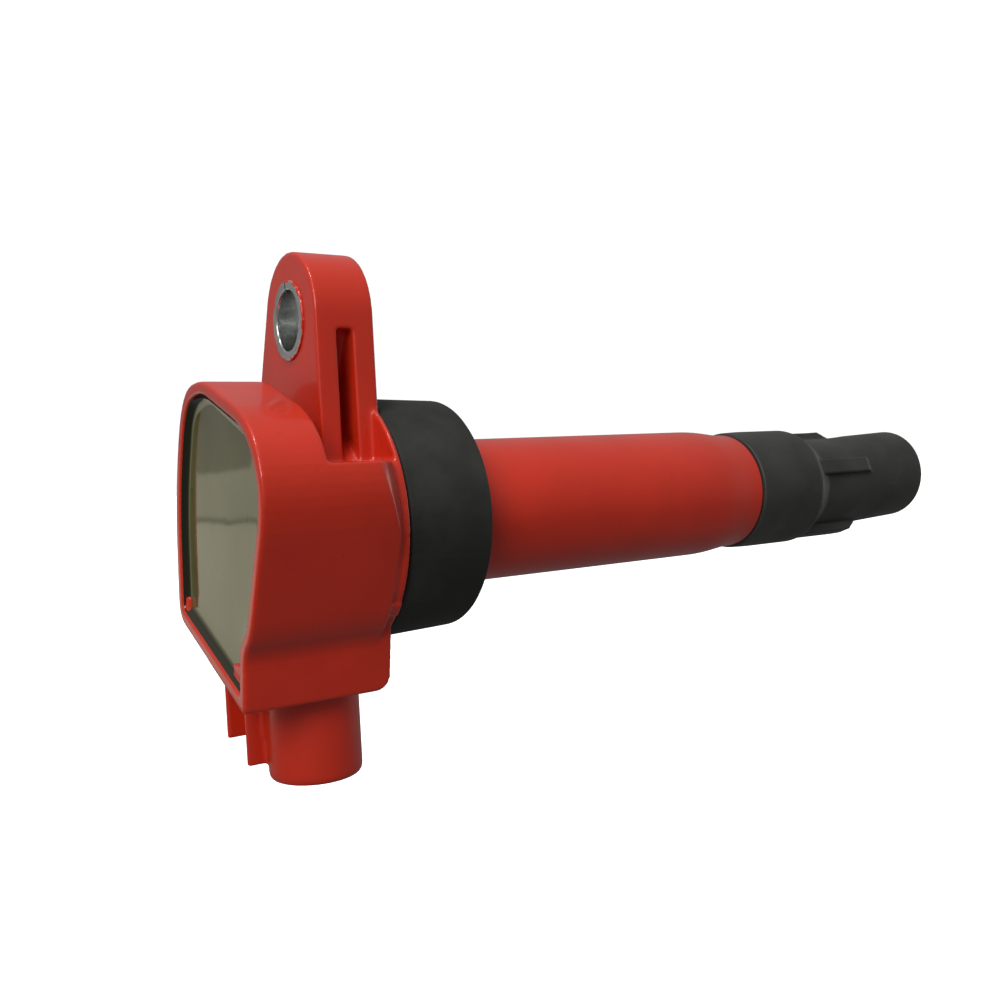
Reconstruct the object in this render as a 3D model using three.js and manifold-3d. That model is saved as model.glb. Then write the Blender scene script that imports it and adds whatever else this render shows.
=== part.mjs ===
// Pencil ignition coil: moulded head with a mounting ear and connector, coil tube with its
// windings and core, rubber well seal, and rubber spark plug boot.
// Millimetres. +X runs along the tube from the head to the plug, +Z points at the mounting ear.
// The origin is on the tube's axis, in the plane of the ear bushing's seat.
import * as THREE from 'three';
import * as BufferGeometryUtils from 'three/addons/utils/BufferGeometryUtils.js';
import Module from 'manifold-3d';

const wasm = await Module();
wasm.setup();

// ---------- driving dimensions ----------
const GAP = 0.25;                 // clearance between pieces that touch
const ROUND = 48;                 // sides of a large round piece
const SMALL_ROUND = 24;           // sides of a small round piece

const RIM_X = -21.3;              // open, potted end of the head
const BOWL_FRONT_X = -12.5;       // where the full head section ends above the shelf
const BODY_FRONT_X = -1.2;        // where the head's sides reach the flange
const BLOCK_FRONT_X = -0.7;       // boot-side face of the connector block
const BOWL_FLOOR_X = -7;          // floor of the potted bowl
const HEAD_WALL = 1.9;
const SHELF_Z = 8;                // shelf on which the ear's ribs stand

const NECK_R = 12.6;
const FLANGE_R = 18.1;
const FLANGE_X = [-1.3, -0.5];

const EAR_X = [-8.8, -0.3];
const EAR_BOLT_Y = -0.5;
const EAR_BOLT_Z = 28.3;
const EAR_TOP_R = 9.4;
const EAR_LEAN = THREE.MathUtils.degToRad(23);
const EAR_FAR_SIDE = [[12.8, 20.7], [16, SHELF_Z], [16, 0]];
const POCKET_X = [-5.8, -3.5];    // side pocket between the ear's two ribs
const POCKET_TOP_Z = 26;
const EAR_WEB_HALF = 4.2;

const BUSHING_X = [-9.1, 0];
const BUSHING_R = 5.6;
const BUSHING_BORE_R = 4.2;
const BUSHING_SLIT = 0.5;

const SOCKET = { x: -8, y: 1, r: 6.6, boreR: 5.4, mouthZ: -36, floorZ: -24, topZ: -15 };
const RAIL_THICK = 1;
const RAILS = [
  { y: 4.5, x: [-16.8, -13.2], mouthZ: -34 },
  { y: 10.5, x: [-17.6, -13.4], mouthZ: -31 },
];
const PIN_PITCH = 3;
const PIN = { thick: 0.64, width: 1.5, tipZ: -32.5, topZ: -15 };

const COLLAR = { x: [-0.2, 13], r: [17.4, 17.0] };

const TUBE_R = 11;
const TUBE_BORE_R = 9.7;
const TUBE_START_X = -4.1;
const TAPER_X = [65, 71];
const TUBE_NECK_R = 10.2;
const TUBE_NECK_END_X = 73.2;
const SPIGOT_R = 8.4;
const SPIGOT_BORE_R = 6.6;
const SPIGOT_END_X = 86;

const BOOT = { lipX: 73.5, r: 10.7, shoulderX: [88.5, 92.3], tipR: 8.65, endX: 121, boreR: 5.6, skirtX: 86.4 };
const BOOT_RIBS = 4;
const BOOT_RIB = { x: [90, 102.7, 105.7], r: 10.3, width: 2.8, turn: THREE.MathUtils.degToRad(20) };

const CORE = { r: 3.6, x: [0.6, 59.4] };
const MAGNET_LENGTH = 3;
const CUSHION_LENGTH = 1.4;
const SECONDARY_BOBBIN = { x: [-5, 64], r: [4, 4.9], flangeR: 6.2, flangeWide: 0.8, sections: 7 };
const SECONDARY_WINDING_R = [6.4, 6.55];
const PRIMARY_BOBBIN = { x: [-5, 64.4], r: [6.8, 7.4], flangeR: 8.6, flangeWide: 1 };
const PRIMARY_WINDING_R = 8.2;
const SHIELD = { x: [-3.6, 63], r: [8.9, 9.4], slit: 1 };

const HV_CUP = { x: [66, 71], r: 4, pocketR: 2.9, pocketX: 68.5 };
const RESISTOR = { x: [71.3, 84], r: 2.3, capR: 2.6, capLong: 2 };
const NOSE_SLEEVE = { x: [71.6, 84.4], r: [2.95, 6.3] };
const SPRING = { x: [84.8, 106], r: 2.9, wireR: 0.42, turns: 9 };

// ---------- shape helpers ----------

/** Joins shared vertices, drops collapsed triangles and faces the surface outwards. */
function closedGeometry(geometry) {
  const bare = geometry.clone();
  bare.deleteAttribute('normal');
  bare.deleteAttribute('uv');
  const merged = BufferGeometryUtils.mergeVertices(bare, 1e-4);
  const points = merged.attributes.position;
  const source = merged.index.array;
  const kept = [];
  let volume = 0;
  const a = new THREE.Vector3();
  const b = new THREE.Vector3();
  const c = new THREE.Vector3();
  for (let i = 0; i < source.length; i += 3) {
    const [p, q, r] = [source[i], source[i + 1], source[i + 2]];
    if (p === q || q === r || r === p) continue;
    a.fromBufferAttribute(points, p);
    b.fromBufferAttribute(points, q);
    c.fromBufferAttribute(points, r);
    volume += a.dot(b.cross(c));
    kept.push(p, q, r);
  }
  if (volume < 0) kept.reverse();
  merged.setIndex(kept);
  return merged;
}

/** Turns a closed geometry into a solid for cutting and joining. */
function solid(geometry) {
  const closed = closedGeometry(geometry);
  const mesh = new wasm.Mesh({
    numProp: 3,
    vertProperties: new Float32Array(closed.attributes.position.array),
    triVerts: new Uint32Array(closed.index.array),
  });
  mesh.merge();
  return new wasm.Manifold(mesh);
}

/** Turns a solid back into a named mesh with its material. */
function piece(name, body, material) {
  const mesh = body.getMesh();
  const geometry = new THREE.BufferGeometry();
  geometry.setAttribute('position', new THREE.BufferAttribute(mesh.vertProperties, 3));
  geometry.setIndex(new THREE.BufferAttribute(mesh.triVerts, 1));
  geometry.computeVertexNormals();
  const result = new THREE.Mesh(geometry, material);
  result.name = name;
  return result;
}

function unite(parts) {
  return parts.reduce((all, next) => all.add(next));
}

function box(x, y, z) {
  const geometry = new THREE.BoxGeometry(x[1] - x[0], y[1] - y[0], z[1] - z[0]);
  geometry.translate((x[0] + x[1]) / 2, (y[0] + y[1]) / 2, (z[0] + z[1]) / 2);
  return solid(geometry);
}

/** Revolves [x, radius] points about the tube's axis. */
function turned(profile, sides = ROUND) {
  const points = profile.map(([x, r]) => new THREE.Vector2(r, x));
  const geometry = new THREE.LatheGeometry(points, sides);
  geometry.rotateZ(-Math.PI / 2);
  return solid(geometry);
}

/** A plain round bar along the tube's axis. */
function bar(x, r, sides = ROUND) {
  return turned([[x[0], 0], [x[0], r], [x[1], r], [x[1], 0]], sides);
}

/** A plain sleeve along the tube's axis. */
function sleeve(x, r, sides = ROUND) {
  return turned([[x[0], r[0]], [x[0], r[1]], [x[1], r[1]], [x[1], r[0]], [x[0], r[0]]], sides);
}

/** Extrudes a shape drawn in (Y, Z) along X. */
function alongX(shape, x) {
  const geometry = new THREE.ExtrudeGeometry(shape, { depth: x[1] - x[0], bevelEnabled: false, curveSegments: 6 });
  const basis = new THREE.Matrix4().makeBasis(
    new THREE.Vector3(0, 1, 0), new THREE.Vector3(0, 0, 1), new THREE.Vector3(1, 0, 0));
  geometry.applyMatrix4(basis);
  geometry.translate(x[0], 0, 0);
  return solid(geometry);
}

/** A round post along Z. */
function post(x, y, r, z, sides = ROUND) {
  const geometry = new THREE.CylinderGeometry(r, r, z[1] - z[0], sides);
  geometry.rotateX(Math.PI / 2);
  geometry.translate(x, y, (z[0] + z[1]) / 2);
  return solid(geometry);
}

/** A round rod through a list of points. */
function rod(points, r, steps, sides) {
  const curve = new THREE.CatmullRomCurve3(points.map((p) => new THREE.Vector3(...p)));
  const section = new THREE.Shape();
  section.absarc(0, 0, r, 0, Math.PI * 2);
  return solid(new THREE.ExtrudeGeometry(section, {
    extrudePath: curve, steps, bevelEnabled: false, curveSegments: sides,
  }));
}

/** Moves each side of an outline inwards by the same distance; corners are [y, z, radius]. */
function inset(corners, distance) {
  const count = corners.length;
  const sides = corners.map(([y0, z0], i) => {
    const [y1, z1] = corners[(i + 1) % count];
    const length = Math.hypot(y1 - y0, z1 - z0);
    const direction = [(y1 - y0) / length, (z1 - z0) / length];
    const inward = [-direction[1], direction[0]];
    return { point: [y0 + inward[0] * distance, z0 + inward[1] * distance], direction };
  });
  return corners.map(([, , radius], i) => {
    const before = sides[(i + count - 1) % count];
    const after = sides[i];
    const cross = before.direction[0] * after.direction[1] - before.direction[1] * after.direction[0];
    const dy = after.point[0] - before.point[0];
    const dz = after.point[1] - before.point[1];
    const t = (dy * after.direction[1] - dz * after.direction[0]) / cross;
    const y = before.point[0] + before.direction[0] * t;
    const z = before.point[1] + before.direction[1] * t;
    return [y, z, Math.max(radius - distance, 0.4)];
  });
}

/** Draws an outline whose corners are eased by the radius given with each. */
function easedShape(corners) {
  const shape = new THREE.Shape();
  const count = corners.length;
  corners.forEach(([y, z, radius], i) => {
    const [py, pz] = corners[(i + count - 1) % count];
    const [ny, nz] = corners[(i + 1) % count];
    const toPrevious = Math.hypot(py - y, pz - z);
    const toNext = Math.hypot(ny - y, nz - z);
    const backOff = Math.min(radius, toPrevious * 0.48);
    const ahead = Math.min(radius, toNext * 0.48);
    const start = [y + (py - y) / toPrevious * backOff, z + (pz - z) / toPrevious * backOff];
    const end = [y + (ny - y) / toNext * ahead, z + (nz - z) / toNext * ahead];
    if (i === 0) shape.moveTo(...start);
    else shape.lineTo(...start);
    shape.quadraticCurveTo(y, z, ...end);
  });
  shape.closePath();
  return shape;
}

// ---------- materials ----------
function material(color, roughness, metalness = 0) {
  return new THREE.MeshStandardMaterial({ color, roughness, metalness });
}

// ---------- head ----------

/** The head's section, anticlockwise in (Y, Z): a rounded box turned on the tube, with a foot for the connector. */
const HEAD_SECTION = [
  [1.5, 20.6, 5],
  [-17.8, 13.9, 7],
  [-22.4, 4.6, 7],
  [-13.9, -13.2, 2.5],
  [-10.9, -15.8, 1.5],
  [-9.4, -23.5, 0.8],
  [19.2, -13.7, 3],
  [17.5, 4.5, 11],
  [11, 19.2, 7],
];

/** Outer ear shape in (Y, Z): a round top, one upright side and one that leans out to the shelf. */
function earShape() {
  const shape = new THREE.Shape();
  const nearY = EAR_BOLT_Y - EAR_TOP_R;
  shape.moveTo(nearY, 0);
  for (const [y, z] of [...EAR_FAR_SIDE].reverse()) shape.lineTo(y, z);
  shape.absarc(EAR_BOLT_Y, EAR_BOLT_Z, EAR_TOP_R, EAR_LEAN, Math.PI, false);
  shape.closePath();
  return shape;
}

/** One side pocket of the ear; side is 1 or -1. */
function earPocket(side) {
  const far = 20;
  const shape = new THREE.Shape();
  shape.moveTo(side * EAR_WEB_HALF, SHELF_Z);
  shape.lineTo(side * EAR_WEB_HALF, POCKET_TOP_Z - 7);
  shape.lineTo(side * (EAR_WEB_HALF + 3.5), POCKET_TOP_Z);
  shape.lineTo(side * far, POCKET_TOP_Z);
  shape.lineTo(side * far, SHELF_Z);
  shape.closePath();
  return alongX(shape, POCKET_X);
}

function headHousing(paint) {
  const trim = turned([[-40, 0], [-40, 40], [RIM_X, 40], [BOWL_FRONT_X, 24.5],
    [-5, 22], [-2.4, 19.2], [-2.3, 17.9], [BODY_FRONT_X, 17.9], [BODY_FRONT_X, 0]]);
  const aboveShelf = box([BOWL_FRONT_X, 1], [-30, 30], [SHELF_Z, 40]);
  const body = alongX(easedShape(HEAD_SECTION), [RIM_X, BODY_FRONT_X]).intersect(trim).subtract(aboveShelf);
  const block = alongX(easedShape([
    [-9.5, -23.6, 0.8], [6, -18.3, 1], [6, -8, 1], [-11.2, -8, 1], [-10.9, -15.8, 1],
  ]), [RIM_X, BLOCK_FRONT_X]);
  const ear = alongX(earShape(), EAR_X).subtract(earPocket(1)).subtract(earPocket(-1));
  const rails = RAILS.map((rail) => box(
    rail.x, [rail.y - RAIL_THICK / 2, rail.y + RAIL_THICK / 2], [rail.mouthZ, SOCKET.topZ]));
  const latchPlate = box([-14.4, -13.6], [SOCKET.y, RAILS[1].y], [RAILS[1].mouthZ + 1, SOCKET.topZ]);
  const outer = unite([
    body, block, ear, latchPlate, ...rails,
    bar([BOWL_FRONT_X - 0.5, FLANGE_X[0] + 0.2], NECK_R),
    bar(FLANGE_X, FLANGE_R),
    post(SOCKET.x, SOCKET.y, SOCKET.r, [SOCKET.mouthZ, SOCKET.topZ]),
  ]);
  const bowl = alongX(easedShape(inset(HEAD_SECTION, HEAD_WALL)), [RIM_X - 1, BOWL_FLOOR_X]);
  const underShelf = box([BOWL_FRONT_X - HEAD_WALL, 1], [-30, 30], [SHELF_Z - HEAD_WALL, 40]);
  const hollows = unite([
    bowl.subtract(underShelf),
    bar([BOWL_FLOOR_X - 1, TUBE_START_X - GAP], TUBE_BORE_R),
    bar([TUBE_START_X - GAP, 1], TUBE_R + GAP),
    post(SOCKET.x, SOCKET.y, SOCKET.boreR, [SOCKET.mouthZ - 1, SOCKET.topZ - 1]),
  ]);
  const boltHole = bar([EAR_X[0] - 1, EAR_X[1] + 1], BUSHING_R + GAP, 36).translate(0, EAR_BOLT_Y, EAR_BOLT_Z);
  return piece('head_housing', outer.subtract(hollows).subtract(boltHole), paint);
}

function earBushing(steel) {
  const ring = sleeve(BUSHING_X, [BUSHING_BORE_R, BUSHING_R], 36);
  const slit = box([BUSHING_X[0] - 1, BUSHING_X[1] + 1], [-BUSHING_SLIT / 2, BUSHING_SLIT / 2], [0, BUSHING_R + 1]);
  return piece('ear_bushing', ring.subtract(slit).translate(0, EAR_BOLT_Y, EAR_BOLT_Z), steel);
}

function pottingFill(resin) {
  const shape = easedShape(inset(HEAD_SECTION, HEAD_WALL + GAP));
  return piece('potting_fill', alongX(shape, [RIM_X + 1.5, RIM_X + 5.3]), resin);
}

const PIN_NAMES = ['terminal_supply', 'terminal_trigger', 'terminal_ground'];

function pinY(index) {
  return SOCKET.y + (index - 1) * PIN_PITCH;
}

function pinBox(index, grow, z) {
  const halfThick = PIN.thick / 2 + grow;
  const halfWide = PIN.width / 2 + grow;
  return box([SOCKET.x - halfThick, SOCKET.x + halfThick], [pinY(index) - halfWide, pinY(index) + halfWide], z);
}

function terminals(tin) {
  return PIN_NAMES.map((name, index) => piece(name, pinBox(index, 0, [PIN.tipZ, PIN.topZ]), tin));
}

function terminalCarrier(plastic) {
  const slots = unite(PIN_NAMES.map((name, index) => pinBox(index, GAP, [-40, 0])));
  const plug = post(SOCKET.x, SOCKET.y, SOCKET.boreR - GAP, [SOCKET.floorZ, SOCKET.floorZ + 5.5]);
  return piece('terminal_carrier', plug.subtract(slots), plastic);
}

function igniterPieces(resin, aluminium, glass, copper) {
  const module = box([-15.6, -11.6], [-7, 7], [-7, 5]);
  const spreader = box([-11.3, -10.3], [-8, 8], [-8, 5.6]);
  const diode = bar([-3, 3], 1.3, SMALL_ROUND).rotate([0, 0, 90]).translate(-9.6, 0, -11.5);
  const leads = [-1, 1].map((side) => rod([
    [-6.2, side * 7.9, 0], [-8.2, side * 8.6, 0.4], [-10, side * 9.4, 0.5], [-13.5, side * 9.4, 0],
  ], 0.35, 8, 4));
  return [
    piece('igniter_module', module, resin),
    piece('heat_spreader', spreader, aluminium),
    piece('blocking_diode', diode, glass),
    piece('primary_lead_start', leads[0], copper),
    piece('primary_lead_end', leads[1], copper),
  ];
}

// ---------- coil inside the tube ----------

function corePieces(laminate, magnet, foam) {
  const headMagnetX = [CORE.x[0] - GAP - MAGNET_LENGTH, CORE.x[0] - GAP];
  const tipMagnetX = [CORE.x[1] + GAP, CORE.x[1] + GAP + MAGNET_LENGTH];
  const headCushionX = [headMagnetX[0] - GAP - CUSHION_LENGTH, headMagnetX[0] - GAP];
  const tipCushionX = [tipMagnetX[1] + GAP, tipMagnetX[1] + GAP + CUSHION_LENGTH];
  return [
    piece('centre_core', bar(CORE.x, CORE.r, SMALL_ROUND), laminate),
    piece('head_magnet', bar(headMagnetX, CORE.r, SMALL_ROUND), magnet),
    piece('tip_magnet', bar(tipMagnetX, CORE.r, SMALL_ROUND), magnet),
    piece('head_cushion', bar(headCushionX, CORE.r, SMALL_ROUND), foam),
    piece('tip_cushion', bar(tipCushionX, CORE.r, SMALL_ROUND), foam),
  ];
}

/** Secondary bobbin: a sleeve with evenly spaced section flanges. */
function secondaryProfile() {
  const { x, r, flangeR, flangeWide, sections } = SECONDARY_BOBBIN;
  const pitch = (x[1] - x[0] - flangeWide) / sections;
  const profile = [[x[0], r[0]]];
  for (let i = 0; i <= sections; i += 1) {
    const start = x[0] + i * pitch;
    profile.push([start, flangeR], [start + flangeWide, flangeR]);
    if (i < sections) profile.push([start + flangeWide, r[1]], [start + pitch, r[1]]);
  }
  profile.push([x[1], r[0]], [x[0], r[0]]);
  return profile;
}

/** Secondary winding: a wound ring in each section, under one thin outer layer that joins them. */
function secondaryWinding(wire) {
  const { x, r, flangeWide, sections } = SECONDARY_BOBBIN;
  const [underLayer, outside] = SECONDARY_WINDING_R;
  const pitch = (x[1] - x[0] - flangeWide) / sections;
  const start = x[0] + flangeWide + GAP;
  const profile = [[start, outside]];
  profile.push([x[1] - flangeWide - GAP, outside]);
  for (let i = sections; i > 0; i -= 1) {
    const ringEnd = x[0] + i * pitch - GAP;
    const ringStart = x[0] + (i - 1) * pitch + flangeWide + GAP;
    if (i < sections) profile.push([ringEnd, underLayer]);
    profile.push([ringEnd, r[1] + GAP], [ringStart, r[1] + GAP]);
    if (i > 1) profile.push([ringStart, underLayer]);
  }
  profile.push([start, outside]);
  return piece('secondary_winding', turned(profile, SMALL_ROUND), wire);
}

function windingPieces(bobbinPlastic, fineWire, heavyWire, iron) {
  const { x, r, flangeR, flangeWide } = PRIMARY_BOBBIN;
  const primaryBobbin = turned([
    [x[0], r[0]], [x[0], flangeR], [x[0] + flangeWide, flangeR], [x[0] + flangeWide, r[1]],
    [x[1] - flangeWide, r[1]], [x[1] - flangeWide, flangeR], [x[1], flangeR], [x[1], r[0]], [x[0], r[0]],
  ]);
  const primaryX = [x[0] + flangeWide + GAP, x[1] - flangeWide - GAP];
  const shieldSlit = box([SHIELD.x[0] - 1, SHIELD.x[1] + 1], [-SHIELD.slit / 2, SHIELD.slit / 2], [0, SHIELD.r[1] + 1]);
  return [
    piece('secondary_bobbin', turned(secondaryProfile(), SMALL_ROUND), bobbinPlastic),
    secondaryWinding(fineWire),
    piece('primary_bobbin', primaryBobbin, bobbinPlastic),
    piece('primary_winding', sleeve(primaryX, [r[1] + GAP, PRIMARY_WINDING_R]), heavyWire),
    piece('outer_core', sleeve(SHIELD.x, SHIELD.r).subtract(shieldSlit), iron),
  ];
}

function caseTube(paint) {
  return piece('case_tube', turned([
    [TUBE_START_X, TUBE_BORE_R], [TUBE_START_X, TUBE_R], [TAPER_X[0], TUBE_R], [TAPER_X[1], TUBE_NECK_R],
    [TUBE_NECK_END_X, TUBE_NECK_R], [TUBE_NECK_END_X, SPIGOT_R], [SPIGOT_END_X, SPIGOT_R],
    [SPIGOT_END_X, SPIGOT_BORE_R], [TAPER_X[1], SPIGOT_BORE_R], [TAPER_X[0], TUBE_BORE_R],
    [TUBE_START_X, TUBE_BORE_R],
  ]), paint);
}

// ---------- rubber ----------

function sealCollar(rubber) {
  const [back, front] = COLLAR.x;
  const innerR = TUBE_R + GAP;
  return piece('seal_collar', turned([
    [back, innerR], [back, COLLAR.r[0]], [front, COLLAR.r[1]], [front, COLLAR.r[1] - 2],
    [back + 4, COLLAR.r[1] - 2.4], [back + 4, innerR + 1.6], [front - 0.8, innerR + 1.4], [front - 0.8, innerR],
    [back, innerR],
  ]), rubber);
}

/** One lengthwise rib of the boot, standing up along Z before it is turned to its place. */
function bootRib() {
  const { x, r, width } = BOOT_RIB;
  const shape = new THREE.Shape();
  shape.moveTo(x[0], BOOT.tipR - 1);
  shape.lineTo(x[0], r);
  shape.lineTo(x[1], r);
  shape.lineTo(x[2], BOOT.tipR - 0.4);
  shape.lineTo(x[2], BOOT.tipR - 1);
  shape.closePath();
  const geometry = new THREE.ExtrudeGeometry(shape, { depth: width, bevelEnabled: false });
  geometry.rotateX(Math.PI / 2);
  geometry.translate(0, width / 2, 0);
  return solid(geometry);
}

function plugBoot(rubber) {
  const shell = turned([
    [BOOT.lipX, SPIGOT_R + GAP], [BOOT.lipX, BOOT.r], [BOOT.shoulderX[0], BOOT.r], [BOOT.shoulderX[1], BOOT.tipR],
    [BOOT.endX, BOOT.tipR], [BOOT.endX, BOOT.boreR], [BOOT.skirtX, BOOT.boreR], [BOOT.skirtX, SPIGOT_R + GAP],
    [BOOT.lipX, SPIGOT_R + GAP],
  ]);
  const ribs = [];
  for (let i = 0; i < BOOT_RIBS; i += 1) {
    const turn = BOOT_RIB.turn + i * Math.PI * 2 / BOOT_RIBS;
    ribs.push(bootRib().rotate([-THREE.MathUtils.radToDeg(turn), 0, 0]));
  }
  return piece('plug_boot', unite([shell, ...ribs]), rubber);
}

// ---------- high-voltage end ----------

function contactSpring(steel) {
  class Helix extends THREE.Curve {
    getPoint(t, target = new THREE.Vector3()) {
      const angle = t * SPRING.turns * Math.PI * 2;
      return target.set(
        THREE.MathUtils.lerp(SPRING.x[0] + SPRING.wireR, SPRING.x[1] - SPRING.wireR, t),
        SPRING.r * Math.cos(angle), SPRING.r * Math.sin(angle));
    }
  }
  const section = new THREE.Shape();
  section.absarc(0, 0, SPRING.wireR, 0, Math.PI * 2);
  const geometry = new THREE.ExtrudeGeometry(section, {
    extrudePath: new Helix(), steps: SPRING.turns * 14, bevelEnabled: false, curveSegments: 3,
  });
  return piece('contact_spring', solid(geometry), steel);
}

function highVoltagePieces(brass, ceramic, plastic, steel) {
  const cup = turned([
    [HV_CUP.x[0], 0], [HV_CUP.x[0], HV_CUP.r], [HV_CUP.x[1], HV_CUP.r], [HV_CUP.x[1], HV_CUP.pocketR],
    [HV_CUP.pocketX, HV_CUP.pocketR], [HV_CUP.pocketX, 0],
  ], SMALL_ROUND);
  const resistor = turned([
    [RESISTOR.x[0], 0], [RESISTOR.x[0], RESISTOR.capR], [RESISTOR.x[0] + RESISTOR.capLong, RESISTOR.capR],
    [RESISTOR.x[0] + RESISTOR.capLong, RESISTOR.r], [RESISTOR.x[1] - RESISTOR.capLong, RESISTOR.r],
    [RESISTOR.x[1] - RESISTOR.capLong, RESISTOR.capR], [RESISTOR.x[1], RESISTOR.capR], [RESISTOR.x[1], 0],
  ], SMALL_ROUND);
  return [
    piece('high_voltage_cup', cup, brass),
    piece('suppression_resistor', resistor, ceramic),
    piece('nose_sleeve', sleeve(NOSE_SLEEVE.x, NOSE_SLEEVE.r, 32), plastic),
    contactSpring(steel),
  ];
}

// ---------- assembly ----------
const redPaint = material(0xb02c20, 0.35);
const tubePaint = material(0xb83424, 0.4);
const blackRubber = material(0x2b2a28, 0.75);
const bootRubber = material(0x26262a, 0.65);
const zincSteel = material(0x8c8f8c, 0.35, 0.9);
const oliveResin = material(0x6a6140, 0.3);
const tinPlate = material(0xb8b8b4, 0.3, 0.9);
const blackPlastic = material(0x1c1c1c, 0.6);
const moduleResin = material(0x202024, 0.55);
const aluminium = material(0xa8abad, 0.4, 0.9);
const diodeGlass = material(0x2a2a2a, 0.4);
const copperWire = material(0xb06a34, 0.35, 0.8);
const fineCopper = material(0x9a5a2c, 0.4, 0.7);
const laminate = material(0x55585a, 0.5, 0.8);
const magnetGrey = material(0x3c3c40, 0.45, 0.5);
const foam = material(0x4a4a46, 0.9);
const bobbinPlastic = material(0xd8d2bc, 0.6);
const brass = material(0xb08a3c, 0.35, 0.9);
const ceramic = material(0xe4ded0, 0.5);
const springSteel = material(0xc0c0bc, 0.25, 0.95);

const coil = new THREE.Group();
coil.add(
  headHousing(redPaint),
  earBushing(zincSteel),
  pottingFill(oliveResin),
  ...terminals(tinPlate),
  terminalCarrier(blackPlastic),
  ...igniterPieces(moduleResin, aluminium, diodeGlass, copperWire),
  ...corePieces(laminate, magnetGrey, foam),
  ...windingPieces(bobbinPlastic, fineCopper, copperWire, laminate),
  caseTube(tubePaint),
  sealCollar(blackRubber),
  ...highVoltagePieces(brass, ceramic, blackPlastic, springSteel),
  plugBoot(bootRubber),
);

export default coil;
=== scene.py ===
import math

import bmesh
import bpy
from mathutils import Matrix, Vector, noise


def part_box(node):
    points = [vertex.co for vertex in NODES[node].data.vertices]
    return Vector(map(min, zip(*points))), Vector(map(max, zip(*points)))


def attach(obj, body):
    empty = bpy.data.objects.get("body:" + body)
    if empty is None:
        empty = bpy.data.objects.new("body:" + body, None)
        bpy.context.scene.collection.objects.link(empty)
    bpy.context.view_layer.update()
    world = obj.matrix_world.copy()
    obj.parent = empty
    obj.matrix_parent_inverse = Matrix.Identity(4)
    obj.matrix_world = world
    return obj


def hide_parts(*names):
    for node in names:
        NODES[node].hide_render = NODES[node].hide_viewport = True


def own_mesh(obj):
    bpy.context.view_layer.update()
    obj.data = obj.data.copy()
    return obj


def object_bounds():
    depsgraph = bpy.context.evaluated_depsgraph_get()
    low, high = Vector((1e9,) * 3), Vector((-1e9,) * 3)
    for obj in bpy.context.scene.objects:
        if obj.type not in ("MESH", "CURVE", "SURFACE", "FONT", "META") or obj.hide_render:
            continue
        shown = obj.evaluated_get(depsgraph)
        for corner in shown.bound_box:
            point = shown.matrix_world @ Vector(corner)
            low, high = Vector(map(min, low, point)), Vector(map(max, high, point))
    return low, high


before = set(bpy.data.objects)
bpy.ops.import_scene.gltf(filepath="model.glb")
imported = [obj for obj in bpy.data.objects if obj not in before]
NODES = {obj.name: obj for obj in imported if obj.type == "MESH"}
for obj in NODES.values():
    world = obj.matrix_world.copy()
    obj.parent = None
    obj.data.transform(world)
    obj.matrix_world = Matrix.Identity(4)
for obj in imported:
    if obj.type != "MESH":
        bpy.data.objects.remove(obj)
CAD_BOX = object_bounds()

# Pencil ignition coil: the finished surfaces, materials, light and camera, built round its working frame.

bl_info = {
    "name": "Ignition Coil Builder",
    "version": (1, 0, 0),
    "blender": (4, 5, 0),
    "location": "View3D > Sidebar > Coil",
    "description": "Builds a pencil ignition coil's housing, rubber, windings, finishes and studio",
    "category": "Add Mesh",
}

MM = 0.001

# ---------- sizes taken from the frame, in millimetres ----------


def node_box(name):
    """Lowest and highest corner of a frame node, in millimetres."""
    low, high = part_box(name)
    return low / MM, high / MM


HEAD_LOW, HEAD_HIGH = node_box("head_housing")
BUSH_LOW, BUSH_HIGH = node_box("ear_bushing")
TUBE_LOW, TUBE_HIGH = node_box("case_tube")
SEAL_LOW, SEAL_HIGH = node_box("seal_collar")
BOOT_LOW, BOOT_HIGH = node_box("plug_boot")
FILL_HIGH = node_box("potting_fill")[1]
SPRING_LOW, SPRING_HIGH = node_box("contact_spring")

RIM_X = HEAD_LOW.x
MOUTH_Z = HEAD_LOW.z
BOLT_Y = (BUSH_LOW.y + BUSH_HIGH.y) / 2
BOLT_Z = (BUSH_LOW.z + BUSH_HIGH.z) / 2
BUSH_R = (BUSH_HIGH.z - BUSH_LOW.z) / 2
TUBE_R = TUBE_HIGH.z
SEAL_R = SEAL_HIGH.z
BOOT_START_X = BOOT_LOW.x
BOOT_END_X = BOOT_HIGH.x

# ---------- design sizes of the head, in millimetres ----------
# Corners of the head's section as (y, z, corner radius), clockwise from the top.
HEAD_SECTION = [
    (1.5, 20.6, 5), (11, 19.2, 7), (17.5, 4.5, 11), (19.2, -13.7, 3), (-9.4, -23.5, 0.8),
    (-10.9, -15.8, 1.5), (-13.9, -13.2, 2.5), (-22.4, 4.6, 7), (-17.8, 13.9, 7),
]
BLOCK_SECTION = [
    (-9.5, -23.6, 0.8), (-10.9, -15.8, 1.5), (-11.2, -8, 1), (6, -8, 1), (6, -18.3, 1),
]
WALL = 1.9
BOWL_FRONT_X = -12.5
BODY_FRONT_X = -1.2
BOWL_FLOOR_X = -7.0
SHELF_Z = 8.0
NECK_R = 12.6
FLANGE_R = 18.1
FLANGE_BACK_X = -1.3
EAR_BACK_X = -8.8
EAR_FRONT_X = -0.3
EAR_TOP_R = 9.4
EAR_LEAN = math.radians(23)
EAR_FAR_SIDE = [(16, 0), (16, 8), (12.8, 20.7)]
EAR_WEB_HALF = 4.2
POCKET = (-5.8, -3.5)
POCKET_TOP_Z = 26.0
BORE_R = 4.2
SOCKET_X, SOCKET_Y = -8.0, 1.0
SOCKET_R, SOCKET_BORE_R = 6.6, 5.4
SOCKET_FLOOR_Z = -24.0
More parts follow.
